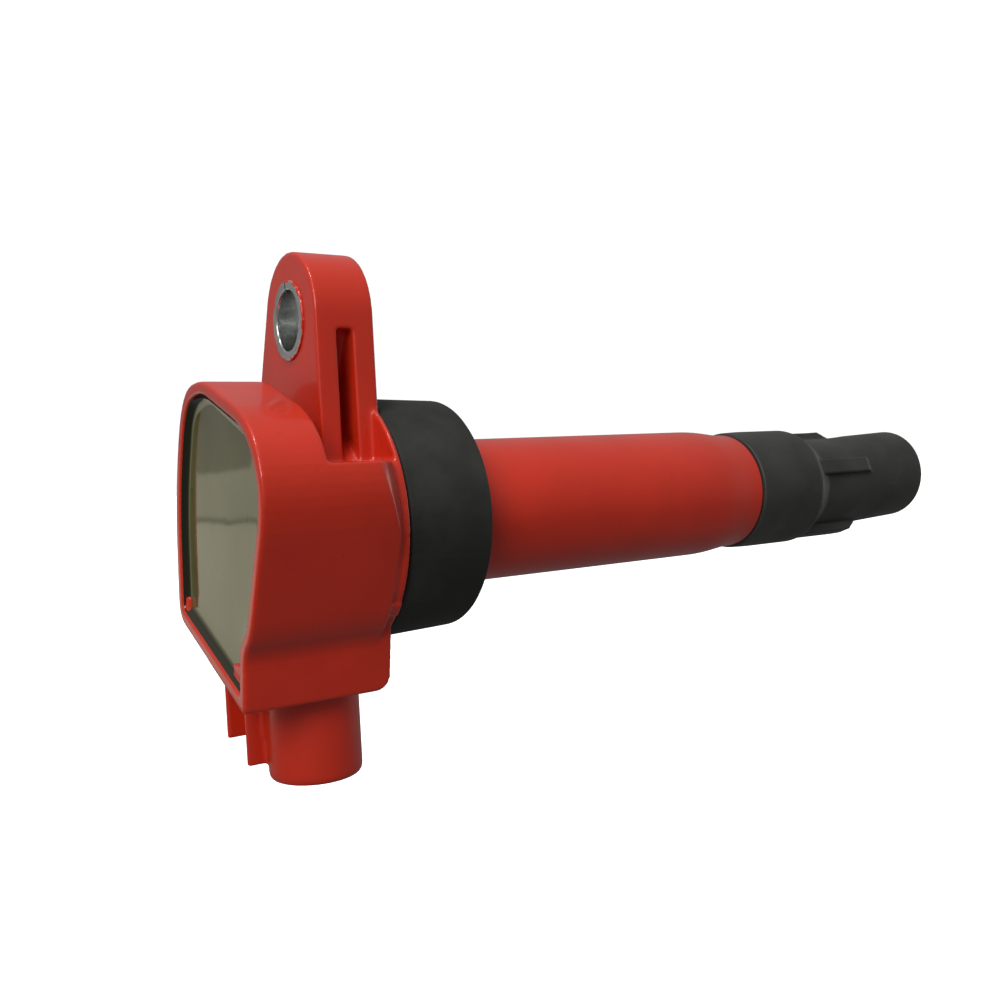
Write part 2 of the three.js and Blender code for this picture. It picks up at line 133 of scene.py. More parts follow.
RAILS = [(4.5, -16.8, -13.2, -34.0), (10.5, -17.6, -13.4, -31.0)]
TUBE_TAPER = (65.0, 71.0)
TUBE_NECK_R = 10.2
TUBE_NECK_END_X = 73.2
SPIGOT_R = 8.4
SPIGOT_BORE_R = 6.6
SPIGOT_END_X = 86.0
BOOT_R = 10.7
BOOT_SHOULDER = (88.5, 92.3)
BOOT_TIP_R = 8.65
BOOT_BORE_R = 5.6
BOOT_SKIRT_X = 86.4
BOOT_RIB_X = (90.0, 102.7, 105.7)
BOOT_RIB_R = 10.3
BOOT_RIB_WIDTH = 2.8
BOOT_RIB_TURN = math.radians(20)
BOOT_BEND = math.radians(2.6)
SPRING_R = 2.9
SPRING_WIRE_R = 0.42
SPRING_TURNS = 9


# ---------- properties ----------
class CoilSizes(bpy.types.PropertyGroup):
    """Sizes of the finish that a user may change."""
    voxel: bpy.props.FloatProperty(
        name="Mesh fineness", description="Edge length of the moulded pieces' mesh",
        default=0.24 * MM, unit="LENGTH", precision=6)
    soften: bpy.props.IntProperty(
        name="Edge softening", description="Passes that round the moulded edges", default=9, min=0)
    fill_depth: bpy.props.FloatProperty(
        name="Resin depth", description="How far the resin lies below the rim", default=1.4 * MM,
        unit="LENGTH", precision=6)


class CoilColours(bpy.types.PropertyGroup):
    """Colours of the finish that a user may change."""
    paint: bpy.props.FloatVectorProperty(
        name="Paint", description="Head and tube paint", subtype="COLOR", default=(0.55, 0.024, 0.007))
    resin: bpy.props.FloatVectorProperty(
        name="Potting resin", description="Resin in the head", subtype="COLOR", default=(0.11, 0.102, 0.042))
    rubber: bpy.props.FloatVectorProperty(
        name="Rubber", description="Seal and boot", subtype="COLOR", default=(0.024, 0.0246, 0.0216))


def sizes():
    return bpy.context.scene.coil_sizes


def colours():
    return bpy.context.scene.coil_colours


# ---------- outlines ----------
def inset(corners, distance):
    """Moves each side of a clockwise outline inwards by the same distance."""
    count = len(corners)
    sides = []
    for i, (y, z, _) in enumerate(corners):
        ny, nz, _ = corners[(i + 1) % count]
        along = Vector((ny - y, nz - z)).normalized()
        inward = Vector((along.y, -along.x))
        sides.append((Vector((y, z)) + inward * distance, along))
    result = []
    for i, (_, _, radius) in enumerate(corners):
        (p, u), (q, v) = sides[i - 1], sides[i]
        cross = u.x * v.y - u.y * v.x
        gap = q - p
        t = (gap.x * v.y - gap.y * v.x) / cross
        spot = p + u * t
        result.append((spot.x, spot.y, max(radius - distance, 0.4)))
    return result


def eased(corners, steps=8):
    """Points of an outline whose corners are rounded by a smooth curve."""
    count = len(corners)
    points = []
    for i, (y, z, radius) in enumerate(corners):
        here = Vector((y, z))
        before = Vector(corners[i - 1][:2]) - here
        after = Vector(corners[(i + 1) % count][:2]) - here
        start = here + before.normalized() * min(radius, before.length * 0.48)
        end = here + after.normalized() * min(radius, after.length * 0.48)
        for k in range(steps + 1):
            t = k / steps
            points.append(start * (1 - t) ** 2 + here * 2 * t * (1 - t) + end * t ** 2)
    return points


# ---------- mesh helpers; lengths in millimetres ----------
def new_object(name, bm):
    """Turns a bmesh in millimetres into an object in metres."""
    bmesh.ops.scale(bm, vec=(MM, MM, MM), verts=bm.verts)
    bmesh.ops.recalc_face_normals(bm, faces=bm.faces)
    mesh = bpy.data.meshes.new(name)
    bm.to_mesh(mesh)
    bm.free()
    obj = bpy.data.objects.new(name, mesh)
    bpy.context.scene.collection.objects.link(obj)
    return obj


def prism(name, points, low, high, place=lambda a, b, h: (h, a, b)):
    """A straight bar with the given outline; place turns (a, b, height) into x, y, z."""
    bm = bmesh.new()
    bottom = [bm.verts.new(place(p[0], p[1], low)) for p in points]
    top = [bm.verts.new(place(p[0], p[1], high)) for p in points]
    bm.faces.new(bottom)
    bm.faces.new(list(reversed(top)))
    count = len(points)
    for i in range(count):
        j = (i + 1) % count
        bm.faces.new((bottom[i], top[i], top[j], bottom[j]))
    return new_object(name, bm)


def block(name, x, y, z):
    corners = [(y[0], z[0]), (y[1], z[0]), (y[1], z[1]), (y[0], z[1])]
    return prism(name, corners, x[0], x[1])


def turned(name, profile, sides=96, axis=None):
    """Revolves (x, radius) points about the tube's axis; a profile that ends on the axis closes there."""
    bm = bmesh.new()
    rings = []
    for x, r in profile:
        if r < 1e-6:
            rings.append([bm.verts.new((x, 0, 0))])
            continue
        ring = []
        for k in range(sides):
            angle = 2 * math.pi * k / sides
            ring.append(bm.verts.new((x, r * math.cos(angle), r * math.sin(angle))))
        rings.append(ring)
    pairs = list(zip(rings, rings[1:]))
    if len(rings[0]) > 1:
        pairs.append((rings[-1], rings[0]))
    for a, b in pairs:
        for k in range(sides):
            n = (k + 1) % sides
            if len(a) == 1 and len(b) == 1:
                continue
            if len(a) == 1:
                bm.faces.new((a[0], b[n], b[k]))
            elif len(b) == 1:
                bm.faces.new((a[k], a[n], b[0]))
            else:
                bm.faces.new((a[k], a[n], b[n], b[k]))
    if axis is not None:
        bmesh.ops.transform(bm, matrix=axis, verts=bm.verts)
    return new_object(name, bm)


def bar(name, x, r, sides=96, axis=None):
    return turned(name, [(x[0], 0), (x[0], r), (x[1], r), (x[1], 0)], sides, axis)


def upright(x, y):
    """Turns the tube's axis into a vertical line through (x, y)."""
    return Matrix.Translation((x, y, 0)) @ Matrix.Rotation(-math.pi / 2, 4, "Y")


def fillet(profile, steps=5):
    """Rounds the corners of a profile given as (x, radius, fillet)."""
    points = []
    last = len(profile) - 1
    for i, (x, r, f) in enumerate(profile):
        here = Vector((x, r))
        if f <= 0 or i in (0, last):
            points.append((x, r))
            continue
        before = Vector(profile[i - 1][:2]) - here
        after = Vector(profile[i + 1][:2]) - here
        start = here + before.normalized() * min(f, before.length * 0.49)
        end = here + after.normalized() * min(f, after.length * 0.49)
        for k in range(steps + 1):
            t = k / steps
            p = start * (1 - t) ** 2 + here * 2 * t * (1 - t) + end * t ** 2
            points.append((p.x, p.y))
    return points


def apply_modifiers(obj):
    """Replaces an object's mesh by the result of its modifiers."""
    graph = bpy.context.evaluated_depsgraph_get()
    mesh = bpy.data.meshes.new_from_object(obj.evaluated_get(graph))
    old = obj.data
    obj.modifiers.clear()
    obj.data = mesh
    bpy.data.meshes.remove(old)
    return obj


def combine(base, others, how):
    """Joins or cuts base with the other objects, which are used up."""
    for other in others:
        step = base.modifiers.new("combine", "BOOLEAN")
        step.operation = how
        step.solver = "MANIFOLD"
        step.object = other
        apply_modifiers(base)
        bpy.data.objects.remove(other)
    if not base.data.polygons:
        raise RuntimeError(f"{base.name}: a {how.lower()} left no faces")
    return base


def mould(obj, voxel, passes):
    """Remeshes a solid evenly and eases its edges as a mould and its paint do."""
    remesh = obj.modifiers.new("remesh", "REMESH")
    remesh.mode = "VOXEL"
    remesh.voxel_size = voxel
    soften = obj.modifiers.new("soften", "SMOOTH")
    soften.factor = 0.5
    soften.iterations = passes
    apply_modifiers(obj)
    shade_smooth(obj)
    return obj


def shade_smooth(obj):
    obj.data.polygons.foreach_set("use_smooth", [True] * len(obj.data.polygons))
    obj.data.update()


def shade_by_angle(obj, degrees=35):
    """Smooth faces with sharp edges kept where the surface turns."""
    shade_smooth(obj)
    bm = bmesh.new()
    bm.from_mesh(obj.data)
    limit = math.radians(degrees)
    for edge in bm.edges:
        edge.smooth = len(edge.link_faces) == 2 and edge.calc_face_angle(0) < limit
    bm.to_mesh(obj.data)
    bm.free()


def settle(obj, body, slot, material, *nodes):
    """Gives a finished piece its material and its body and hides the frame nodes it stands for; the slot
    argument is not used.
    """
    obj.data.materials.clear()
    obj.data.materials.append(material)
    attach(obj, body)
    if nodes:
        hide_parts(*nodes)
    return obj


# ---------- materials ----------
class Finish:
    """Builds one node material step by step."""

    def __init__(self, name, base, roughness, metallic=0.0):
        self.material = bpy.data.materials.new(name)
        self.material.use_nodes = True
        self.tree = self.material.node_tree
        self.shader = self.tree.nodes["Principled BSDF"]
        self.shader.inputs["Base Color"].default_value = (*base, 1)
        self.shader.inputs["Roughness"].default_value = roughness
        self.shader.inputs["Metallic"].default_value = metallic
        self.coordinates = self.add("ShaderNodeTexCoord").outputs["Object"]
        self.normal = None

    def add(self, kind, **values):
        node = self.tree.nodes.new(kind)
        for key, value in values.items():
            setattr(node, key, value)
        return node

    def link(self, source, target):
        self.tree.links.new(source, target)

    def noise(self, scale, detail=3.0, rough=0.55, stretch=None):
        node = self.add("ShaderNodeTexNoise")
        node.inputs["Scale"].default_value = scale
        node.inputs["Detail"].default_value = detail
        node.inputs["Roughness"].default_value = rough
        source = self.coordinates
        if stretch:
            mapping = self.add("ShaderNodeMapping")
            mapping.inputs["Scale"].default_value = stretch
            self.link(source, mapping.inputs["Vector"])
            source = mapping.outputs["Vector"]
        self.link(source, node.inputs["Vector"])
        return node.outputs["Fac"]

    def spread(self, value, low, high, out_low=0.0, out_high=1.0):
        node = self.add("ShaderNodeMapRange")
        node.inputs["From Min"].default_value = low
        node.inputs["From Max"].default_value = high
        node.inputs["To Min"].default_value = out_low
        node.inputs["To Max"].default_value = out_high
        self.link(value, node.inputs["Value"])
        return node.outputs["Result"]

    def blend_colour(self, mask, other):
        """Mixes another colour over what feeds the base colour, by a mask."""
        node = self.add("ShaderNodeMix", data_type="RGBA")
        target = self.shader.inputs["Base Color"]
        if target.is_linked:
            self.link(target.links[0].from_socket, node.inputs["A"])
        else:
            node.inputs["A"].default_value = target.default_value
        node.inputs["B"].default_value = (*other, 1)
        self.link(mask, node.inputs["Factor"])
        self.link(node.outputs["Result"], target)
        return self

    def vary_roughness(self, mask, low, high):
        self.link(self.spread(mask, 0, 1, low, high), self.shader.inputs["Roughness"])
        return self

    def bump(self, height, distance, strength=1.0):
        node = self.add("ShaderNodeBump")
        node.inputs["Distance"].default_value = distance
        node.inputs["Strength"].default_value = strength
        self.link(height, node.inputs["Height"])
        if self.normal is not None:
            self.link(self.normal, node.inputs["Normal"])
        self.normal = node.outputs["Normal"]
        self.link(self.normal, self.shader.inputs["Normal"])
        return self

    def axis(self, which):
        node = self.add("ShaderNodeSeparateXYZ")
        self.link(self.coordinates, node.inputs[0])
        return node.outputs[which]

    def maths(self, operation, a, b=None):
        node = self.add("ShaderNodeMath", operation=operation)
        for socket, value in zip(node.inputs, (a, b)):
            if value is None:
                continue
            if isinstance(value, (int, float)):
                socket.default_value = value
            else:
                self.link(value, socket)
        return node.outputs[0]


def shade(colour, factor):
    return tuple(min(c * factor, 1.0) for c in colour)


def red_paint(name, tube=False):
    base = tuple(colours().paint)
    finish = Finish(name, base, 0.36)
    shader = finish.shader
    shader.inputs["Specular IOR Level"].default_value = 0.32
    shader.inputs["Coat Weight"].default_value = 0.4
    shader.inputs["Coat Roughness"].default_value = 0.1
    cloud = finish.noise(60, 4)
    finish.blend_colour(finish.spread(cloud, 0.35, 0.75), shade(base, 1.18))
    dust = finish.noise(900, 2, stretch=(1, 1, 1))
    finish.blend_colour(finish.spread(dust, 0.68, 0.8, 0, 0.35), shade(base, 0.62))
    finish.vary_roughness(finish.noise(140, 5), 0.3, 0.46)
    finish.bump(finish.noise(750, 2), 0.00003, 0.55)
    if tube:
        lines = finish.noise(420, 2, stretch=(0.05, 1, 1))
        finish.bump(lines, 0.00003, 0.35)
    return finish.material


def potting_resin(name):
    base = tuple(colours().resin)
    finish = Finish(name, base, 0.1)
    finish.shader.inputs["Specular IOR Level"].default_value = 0.55
    finish.shader.inputs["Specular Tint"].default_value = (1, 0.95, 0.66, 1)
    finish.blend_colour(finish.spread(finish.noise(70, 3), 0.35, 0.7), shade(base, 1.35))
    finish.blend_colour(finish.spread(finish.noise(500, 3), 0.62, 0.75, 0, 0.4), shade(base, 0.6))
    level = (RIM_X + sizes().fill_depth / MM) * MM
    # Painted shade: the meniscus is painted near black where the resin climbs the wall, standing in for the
    # shade in that crease.
    edge = finish.spread(finish.axis("X"), level - 0.00032, level - 0.00008, 1, 0)
    finish.blend_colour(edge, (0.012, 0.013, 0.007))
    finish.vary_roughness(finish.noise(90, 3), 0.04, 0.09)
    finish.bump(finish.noise(38, 1), 0.0004, 0.3)
    return finish.material


def black_rubber(name, scuffs, roughness, shine):
    base = tuple(colours().rubber)
    finish = Finish(name, base, roughness)
    finish.shader.inputs["Specular IOR Level"].default_value = shine
    finish.blend_colour(finish.spread(finish.noise(85, 5, 0.6), 0.4, 0.75), shade(base, 1.9))
    marks = finish.noise(130, 7, 0.75, stretch=(0.6, 1, 2.5))
    finish.blend_colour(finish.spread(marks, 0.6, 0.78, 0, scuffs), (0.1, 0.1, 0.096))
    finish.vary_roughness(finish.noise(160, 5), roughness - 0.1, roughness + 0.14)
    finish.bump(finish.noise(1400, 3), 0.00004, 0.5)
    finish.bump(finish.noise(220, 3), 0.00008, 0.3)
    return finish.material


def zinc_steel(name):
    finish = Finish(name, (0.72, 0.74, 0.72), 0.22, 1.0)
    finish.blend_colour(finish.spread(finish.noise(260, 5), 0.45, 0.72), (0.5, 0.51, 0.5))
    radius = radial_distance(finish, BOLT_Y * MM, BOLT_Z * MM)
    ragged = finish.maths("ADD", radius, finish.spread(finish.noise(700, 3), 0, 1, -0.0009, 0.0009))
    painted = finish.spread(ragged, (BUSH_R - 0.35) * MM, (BUSH_R - 0.15) * MM)
    finish.blend_colour(painted, tuple(colours().paint))
    finish.link(finish.spread(painted, 0, 1, 1, 0), finish.shader.inputs["Metallic"])
    finish.bump(finish.noise(900, 3, stretch=(0.1, 1, 1)), 0.00004, 0.5)
    return finish.material


def radial_distance(finish, centre_y, centre_z):
    """Distance of a point from the bolt's axis."""
    y = finish.maths("SUBTRACT", finish.axis("Y"), centre_y)
    z = finish.axis("Z")
    dz = finish.maths("SUBTRACT", z, centre_z)
    squares = finish.maths("ADD", finish.maths("MULTIPLY", y, y), finish.maths("MULTIPLY", dz, dz))
    return finish.maths("SQRT", squares)


def plain_metal(name, base, roughness, stretch=(0.15, 1, 1)):
    finish = Finish(name, base, roughness, 1.0)
    finish.blend_colour(finish.spread(finish.noise(300, 4), 0.4, 0.75), shade(base, 0.7))
    finish.vary_roughness(finish.noise(420, 4), roughness - 0.08, roughness + 0.14)
    finish.bump(finish.noise(1500, 3, stretch=stretch), 0.00003, 0.5)
    return finish.material


def moulded_plastic(name, base, roughness):
    finish = Finish(name, base, roughness)
    finish.blend_colour(finish.spread(finish.noise(120, 4), 0.4, 0.75), shade(base, 1.3))
    finish.vary_roughness(finish.noise(260, 4), roughness - 0.08, roughness + 0.1)
    finish.bump(finish.noise(1800, 2), 0.00003, 0.5)
    return finish.material


def wound_wire(name, base, turns_per_metre):
    """Enamelled copper with one ridge for each turn along the tube."""
    finish = Finish(name, base, 0.3, 0.85)
    wave = finish.add("ShaderNodeTexWave", wave_type="BANDS", bands_direction="X")
    wave.inputs["Scale"].default_value = turns_per_metre / (2 * math.pi) * 2
    wave.inputs["Distortion"].default_value = 0.4
    finish.link(finish.coordinates, wave.inputs["Vector"])
    # Painted shade: the copper colour is darkened in the groove between turns, where shade falls.
    finish.blend_colour(finish.spread(wave.outputs["Fac"], 0, 0.5, 1, 0), shade(base, 0.35))
    finish.blend_colour(finish.spread(finish.noise(200, 3), 0.5, 0.8, 0, 0.6), shade(base, 1.35))
    finish.vary_roughness(finish.noise(300, 3), 0.24, 0.42)
    finish.bump(wave.outputs["Fac"], 0.0001, 0.8)
    return finish.material


# ---------- pieces ----------
def ear_outline(steps=40):
    """The ear's outline in (y, z): a round top, one upright side and one that leans out to the shelf."""
    points = [(BOLT_Y - EAR_TOP_R, 0), *EAR_FAR_SIDE]
    for k in range(steps + 1):
        angle = EAR_LEAN + (math.pi - EAR_LEAN) * k / steps
        points.append((BOLT_Y + EAR_TOP_R * math.cos(angle), BOLT_Z + EAR_TOP_R * math.sin(angle)))
    return points


def ear_pocket(side):
    far = 20
    outline = [
        (side * EAR_WEB_HALF, SHELF_Z), (side * far, SHELF_Z), (side * far, POCKET_TOP_Z),
        (side * (EAR_WEB_HALF + 3.5), POCKET_TOP_Z), (side * EAR_WEB_HALF, POCKET_TOP_Z - 7),
    ]
    return prism("pocket", outline, POCKET[0], POCKET[1])


def head_body():
    """The potted bowl and the lower body, trimmed towards the flange."""
    body = prism("head_shell", eased(HEAD_SECTION), RIM_X, BODY_FRONT_X)
    trim = turned("trim", fillet([
        (-40, 0, 0), (-40, 40, 0), (RIM_X, 40, 0), (BOWL_FRONT_X, 24.5, 3), (-5, 22, 2),
        (-2.4, 19.2, 0.3), (-2.3, 17.9, 0.1), (BODY_FRONT_X, 17.9, 0), (BODY_FRONT_X, 0, 0)]), 160)
    combine(body, [trim], "INTERSECT")
    above_shelf = block("above_shelf", (BOWL_FRONT_X, 1), (-30, 30), (SHELF_Z, 40))
    return combine(body, [above_shelf], "DIFFERENCE")


def rails():
    found = []
    for y, back, front, mouth in RAILS:
        found.append(block("rail", (back, front), (y - 0.5, y + 0.5), (mouth, -15)))
    found.append(block("latch_plate", (-14.4, -13.6), (SOCKET_Y, RAILS[1][0]), (RAILS[1][3] + 1, -15)))
    return found


def head_hollows():
    bowl = prism("bowl", eased(inset(HEAD_SECTION, WALL)), RIM_X - 1, BOWL_FLOOR_X)
    under_shelf = block("under_shelf", (BOWL_FRONT_X - WALL, 1), (-30, 30), (SHELF_Z - WALL, 40))
    combine(bowl, [under_shelf], "DIFFERENCE")
    return [
        bowl,
        bar("bore", (BOWL_FLOOR_X - 1, TUBE_LOW.x), TUBE_R - 1.3),
        bar("tube_seat", (TUBE_LOW.x - 0.1, 1), TUBE_R + 0.05, 128),
        turned("socket", [
            (-SOCKET_FLOOR_Z - 9, 0), (-SOCKET_FLOOR_Z - 9, SOCKET_BORE_R),
            (-MOUTH_Z + 1, SOCKET_BORE_R), (-MOUTH_Z + 1, 0)], 96, downward(SOCKET_X, SOCKET_Y)),
    ]


def bolt_hole():
    place = Matrix.Translation((0, BOLT_Y, BOLT_Z))
    return bar("bolt_hole", (EAR_BACK_X - 1, EAR_FRONT_X + 1), BUSH_R + 0.02, 128, place)


def rounded_corner(radius=2.6, steps=10):
    """What is cut from the connector block's lower boot-side corner; it slopes with the block's foot."""
    front, foot = HEAD_HIGH.x - 0.3, BLOCK_SECTION[0][1]
    outline = [(front + 2, foot - 2), (front + 2, foot + radius), (front, foot + radius)]
    for k in range(1, steps + 1):
        angle = math.pi / 2 * k / steps
        outline.append((front - radius * (1 - math.cos(angle)), foot + radius * (1 - math.sin(angle))))
    outline.append((front - radius, foot - 2))
    cutter = prism("corner", outline, -14, 10, lambda a, b, h: (a, h, b))
    slope = Matrix.Identity(4)
    rise = (BLOCK_SECTION[4][1] - foot) / (BLOCK_SECTION[4][0] - BLOCK_SECTION[0][0])
    slope[2][1] = rise
    cutter.data.transform(Matrix.Translation((0, 0, -rise * BLOCK_SECTION[0][0] * MM)) @ slope)
    return cutter


def flange_key():
    """Small key below the flange on the connector side."""
    key = block("key", (-2.6, -0.5), (-1.1, 1.1), (FLANGE_R - 1.5, FLANGE_R + 0.25))
    key.data.transform(Matrix.Rotation(math.radians(131), 4, "X"))
    return key


def downward(x, y):
    """Turns the tube's axis into a line that runs down through (x, y)."""
    return Matrix.Translation((x, y, 0)) @ Matrix.Rotation(math.pi / 2, 4, "Y")


def rim_gussets():
    """Small moulded pads in the bowl's lower corners."""
    return [
        block("gusset", (RIM_X + 0.7, BOWL_FLOOR_X), (16.0, 18.4), (-15.4, -10.4)),
        block("gusset", (RIM_X + 0.9, BOWL_FLOOR_X), (-9.0, -3.2), (-22.2, -17.6)),
    ]


def make_head_shell():
    body = head_body()
    connector_block = prism("connector_block", eased(BLOCK_SECTION), RIM_X, HEAD_HIGH.x - 0.4)
    combine(connector_block, [rounded_corner()], "DIFFERENCE")
    combine(body, [connector_block], "UNION")
    ear = prism("ear", ear_outline(), EAR_BACK_X, EAR_FRONT_X)
    combine(ear, [ear_pocket(1), ear_pocket(-1)], "DIFFERENCE")
    neck = bar("neck", (BOWL_FRONT_X - 0.5, FLANGE_BACK_X + 0.2), NECK_R)
    flange = turned("flange", fillet([
        (FLANGE_BACK_X, 0, 0), (FLANGE_BACK_X, FLANGE_R, 0.3), (-0.5, FLANGE_R, 0.3), (-0.5, 0, 0)]), 160)
    barrel = turned("barrel", fillet([
        (15, 0, 0), (15, SOCKET_R, 0), (-MOUTH_Z, SOCKET_R, 1.2), (-MOUTH_Z, 0, 0)]), 96,
        downward(SOCKET_X, SOCKET_Y))
    combine(body, [ear, neck, flange, flange_key(), barrel, *rails()], "UNION")
    combine(body, head_hollows(), "DIFFERENCE")
    combine(body, rim_gussets(), "UNION")
    mould(body, sizes().voxel, sizes().soften)
    combine(body, [bolt_hole()], "DIFFERENCE")
    shade_by_angle(body, 50)
    return settle(body, "coil", "red_paint", red_paint("red_paint_head"), "head_housing")


def make_potting():
    """The resin: flat in the middle, climbing the wall in a narrow meniscus."""
    rings = []
    level = RIM_X + sizes().fill_depth / MM
    for distance in (0.05, 0.15, 0.3, 0.5, 0.8, 1.2, 1.8):
        climb = 1.1 * math.exp(-(distance - 0.05) / 0.45)
        rings.append((eased(inset(HEAD_SECTION, WALL + distance)), level - climb))
    middle = Vector((-0.5, 0.5))
    inner = rings[-1][0]
    for share in (0.85, 0.65, 0.4, 0.2):
        rings.append(([middle + (p - middle) * share for p in inner], level))
    bm = bmesh.new()
    back = [bm.verts.new((FILL_HIGH.x, p.x, p.y)) for p in rings[0][0]]
    loops = [back]
    for points, x in rings:
        loops.append([bm.verts.new((x + 0.05 * noise.noise(Vector((p.x, p.y, 0)) * 0.12), p.x, p.y))
                      for p in points])
    count = len(back)
    for a, b in zip(loops, loops[1:]):
        for k in range(count):
            n = (k + 1) % count
            bm.faces.new((a[k], a[n], b[n], b[k]))
    centre = bm.verts.new((level, middle.x, middle.y))
    for k in range(count):
        bm.faces.new((loops[-1][k], loops[-1][(k + 1) % count], centre))
    bm.faces.new(list(reversed(back)))
    obj = new_object("potting_surface", bm)
    shade_by_angle(obj, 50)
    return settle(obj, "coil", "potting_resin", potting_resin("potting_resin"), "potting_fill")


def make_bushing():
    """Rolled steel sleeve with eased ends and its joint line."""
    ring = turned("bolt_sleeve", fillet([
        (BUSH_LOW.x, BORE_R + 0.6, 0), (BUSH_LOW.x, BUSH_R, 0.25), (BUSH_HIGH.x, BUSH_R, 0.25),
        (BUSH_HIGH.x, BORE_R, 0.35), (BUSH_LOW.x, BORE_R, 0.35), (BUSH_LOW.x, BORE_R + 0.6, 0)])[:-1], 128)
    slit = block("slit", (BUSH_LOW.x - 1, BUSH_HIGH.x + 1), (-0.15, 0.15), (0, BUSH_R + 1))
    combine(ring, [slit], "DIFFERENCE")
    ring.data.transform(Matrix.Translation((0, BOLT_Y * MM, BOLT_Z * MM)))
    shade_by_angle(ring)
    return settle(ring, "coil", "zinc_steel", zinc_steel("zinc_steel"), "ear_bushing")


def make_tube():
    bore = TUBE_R - 1.3
    tube = turned("coil_tube", fillet([
        (TUBE_LOW.x, bore, 0), (TUBE_LOW.x, TUBE_R, 0.3), (TUBE_TAPER[0], TUBE_R, 2.5),
        (TUBE_TAPER[1], TUBE_NECK_R, 2.5), (TUBE_NECK_END_X, TUBE_NECK_R, 0.3),
        (TUBE_NECK_END_X, SPIGOT_R, 0.2), (SPIGOT_END_X, SPIGOT_R, 0.5), (SPIGOT_END_X, SPIGOT_BORE_R, 0.3),
        (TUBE_TAPER[1], SPIGOT_BORE_R, 0.5), (TUBE_TAPER[0], bore, 0.5), (TUBE_LOW.x, bore, 0)])[:-1], 160)
    shade_by_angle(tube)
    return settle(tube, "coil", "red_tube", red_paint("red_paint_tube", True), "case_tube")


def make_seal():
    inner = TUBE_R + 0.06
    back, front = SEAL_LOW.x, SEAL_HIGH.x
    seal = turned("well_seal", fillet([
        (back + 2, inner, 0), (back, inner, 0.3), (back, SEAL_R, 0.7), (front, SEAL_R - 0.45, 0.9),
        (front, SEAL_R - 2.6, 0.6), (back + 4, SEAL_R - 3, 0.8), (back + 4, inner + 1.7, 0.8),
        (front - 0.8, inner + 1.5, 0.5), (front - 0.8, inner, 0.4), (back + 2, inner, 0)])[:-1], 160)
    shade_by_angle(seal, 40)
    return settle(seal, "seal", "seal_rubber", black_rubber("seal_rubber", 0.12, 0.6, 0.16), "seal_collar")


def boot_rib(turn):
    """One flat-topped rib that runs out in a slope towards the plug end."""
    x0, x1, x2 = BOOT_RIB_X
    outline = [(x0 - 2, BOOT_TIP_R - 1), (x0 - 2, BOOT_RIB_R), (x1, BOOT_RIB_R), (x2, BOOT_TIP_R - 0.3),
               (x2, BOOT_TIP_R - 1)]
    half = BOOT_RIB_WIDTH / 2
    rib = prism("rib", outline, -half, half, lambda a, b, h: (a, h, b))
    rib.data.transform(Matrix.Rotation(-turn, 4, "X"))
    return rib


def bend_tip(obj):
    """The soft tip leans up a little from the shoulder on."""
    start = (BOOT_SHOULDER[1] + 6) * MM
    for vert in obj.data.vertices:
        reach = vert.co.x - start
        if reach > 0:
            vert.co.z += math.tan(BOOT_BEND) * reach * min(reach / (10 * MM), 1.0)


def make_boot():
    inner = SPIGOT_R + 0.06
    boot = turned("spark_plug_boot", fillet([
        (BOOT_START_X + 3, inner, 0), (BOOT_START_X, inner, 0.2), (BOOT_START_X, BOOT_R - 0.15, 0.5),
        (BOOT_START_X + 4, BOOT_R, 1), (BOOT_SHOULDER[0], BOOT_R, 0.7),
        (BOOT_SHOULDER[1], BOOT_TIP_R + 0.1, 0.5), (BOOT_END_X, BOOT_TIP_R, 0.7),
        (BOOT_END_X, BOOT_BORE_R, 0.7), (BOOT_SKIRT_X, BOOT_BORE_R, 0.4), (BOOT_SKIRT_X, inner, 0.3),
        (BOOT_START_X + 3, inner, 0)])[:-1], 160)
    combine(boot, [boot_rib(BOOT_RIB_TURN + i * math.pi / 2) for i in range(4)], "UNION")
    mould(boot, sizes().voxel * 0.85, 3)
    bend_tip(boot)
    return settle(boot, "boot", "boot_rubber", black_rubber("boot_rubber", 0.35, 0.48, 0.4), "plug_boot")


def make_spring():
    """A round-wire helix with closed ends."""
    steps = SPRING_TURNS * 32
    sides = 10
    bm = bmesh.new()
    rings = []
    for i in range(steps + 1):
        t = i / steps
        angle = t * SPRING_TURNS * 2 * math.pi
        x = SPRING_LOW.x + SPRING_WIRE_R + (SPRING_HIGH.x - SPRING_LOW.x - 2 * SPRING_WIRE_R) * t
        out = Vector((0, math.cos(angle), math.sin(angle)))
        centre = Vector((x, 0, 0)) + out * SPRING_R
        ring = []
        for k in range(sides):
            a = 2 * math.pi * k / sides
            ring.append(bm.verts.new(centre + out * SPRING_WIRE_R * math.cos(a)
                                     + Vector((1, 0, 0)) * SPRING_WIRE_R * math.sin(a)))
        rings.append(ring)
    for a, b in zip(rings, rings[1:]):
        for k in range(sides):
            n = (k + 1) % sides
            bm.faces.new((a[k], a[n], b[n], b[k]))
    bm.faces.new(rings[0])
    bm.faces.new(list(reversed(rings[-1])))
    obj = new_object("contact_helix", bm)
    shade_by_angle(obj, 60)
    settle(obj, "coil", "spring_steel", plain_metal("spring_steel", (0.6, 0.6, 0.58), 0.24), "contact_spring")
    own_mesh(obj)
    return obj


